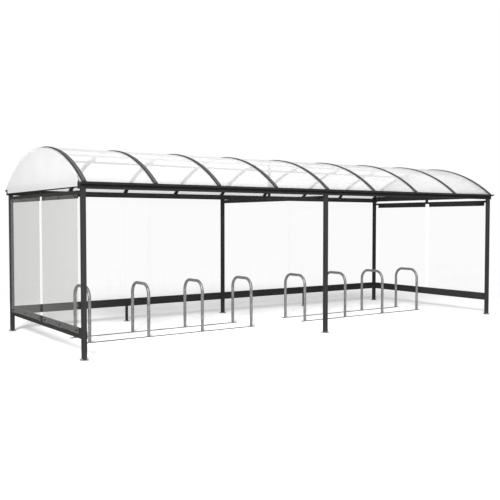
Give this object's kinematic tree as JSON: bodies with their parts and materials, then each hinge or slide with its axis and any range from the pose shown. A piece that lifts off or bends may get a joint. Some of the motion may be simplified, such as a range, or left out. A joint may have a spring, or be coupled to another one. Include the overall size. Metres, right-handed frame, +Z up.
{
  "type": "bike shelter",
  "caption": "Open-fronted bicycle shelter with a vaulted translucent roof on curved ribs, glazed back and end walls, and hoop racks inside.",
  "frame": {"origin": "on the ground, at the middle of the shelter's plan", "axes": "+X along the length, right when facing the back wall; +Y from the open front to the back wall; +Z up"},
  "size_m": [8.12, 3.2176, 2.8095],
  "materials": {
    "painted_steel": "dark grey powder coat",
    "clamp_strip": "grey coated aluminium cap",
    "gutter_aluminium": "dark grey coated sheet",
    "galvanised_steel": "galvanised",
    "mill_aluminium": "mill",
    "black_plastic": "moulded plugs and blocks",
    "roof_sheet": "milky twin-wall polycarbonate",
    "gable_sheet": "milky sheet",
    "wall_glass": "clear flat glazing"
  },
  "bodies": {
    "root": {"arch_rib_1": "painted_steel", "arch_rib_2": "painted_steel", "arch_rib_3": "painted_steel", "arch_rib_4": "painted_steel", "arch_rib_5": "painted_steel", "arch_rib_6": "painted_steel", "arch_rib_7": "painted_steel", "arch_rib_8": "painted_steel", "arch_rib_9": "painted_steel", "back_beam": "painted_steel", "back_gutter": "gutter_aluminium", "base_plates": "galvanised_steel", "beam_plugs": "black_plastic", "bottom_rail_back": "painted_steel", "bottom_rail_left": "painted_steel", "bottom_rail_right": "painted_steel", "clamp_strips": "clamp_strip", "end_tie_left": "painted_steel", "end_tie_right": "painted_steel", "front_beam": "painted_steel", "front_gutter": "gutter_aluminium", "gable_panel_left": "gable_sheet", "gable_panel_right": "gable_sheet", "gable_spacers": "black_plastic", "glazing_back": "wall_glass", "glazing_left": "wall_glass", "glazing_right": "wall_glass", "head_rail_left": "painted_steel", "head_rail_right": "painted_steel", "mid_tie_and_king_post": "painted_steel", "post_back_1": "painted_steel", "post_back_2": "painted_steel", "post_back_3": "painted_steel", "post_front_1": "painted_steel", "post_front_2": "painted_steel", "post_front_3": "painted_steel", "purlin_cleats": "painted_steel", "purlins": "mill_aluminium", "rack_bars_1": "galvanised_steel", "rack_bars_2": "galvanised_steel", "rack_hoops_1": "galvanised_steel", "rack_hoops_2": "galvanised_steel", "rail_hangers": "painted_steel", "roof_sheets_bay_1": "roof_sheet", "roof_sheets_bay_2": "roof_sheet", "short_legs": "painted_steel"}
  },
  "joints": []
}
